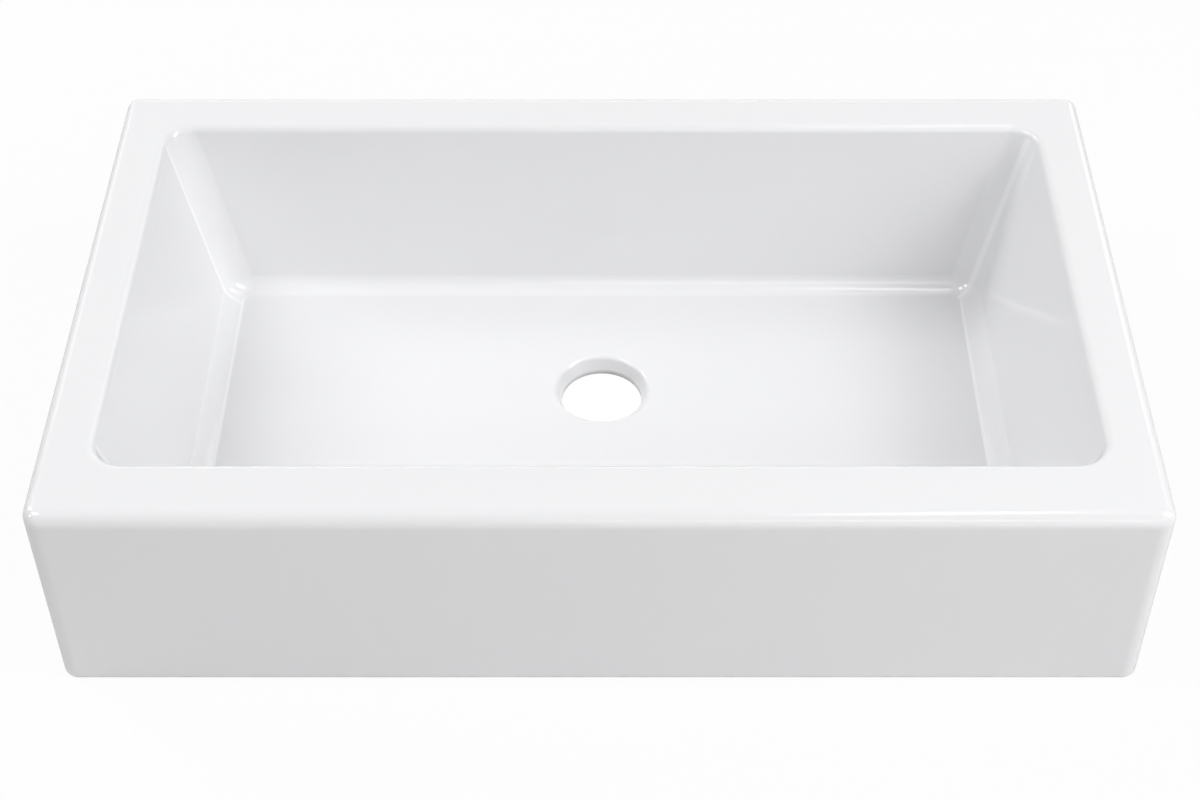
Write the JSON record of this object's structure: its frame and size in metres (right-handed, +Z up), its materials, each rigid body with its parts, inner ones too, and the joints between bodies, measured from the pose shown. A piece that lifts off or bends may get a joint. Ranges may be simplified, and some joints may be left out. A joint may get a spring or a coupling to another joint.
{
  "type": "farmhouse apron front sink",
  "caption": "Wide single-bowl farmhouse kitchen sink with a plain upright apron front, a broad flat rim, sloping bowl walls and a round open drain set behind the middle.",
  "frame": {"origin": "centre of the underside, on the surface the sink stands on", "axes": "+X along the long side to the right seen from the apron, +Y from the apron to the back, +Z up"},
  "size_m": [0.914, 0.552, 0.2],
  "materials": {
    "white_glaze": "glossy white glaze",
    "plug_rubber": "matt grey rubber"
  },
  "bodies": {
    "root": {"fireclay_casting": "white_glaze", "vent_plug_front_left": "plug_rubber", "vent_plug_front_right": "plug_rubber", "vent_plug_back_left": "plug_rubber", "vent_plug_back_right": "plug_rubber"}
  },
  "joints": []
}
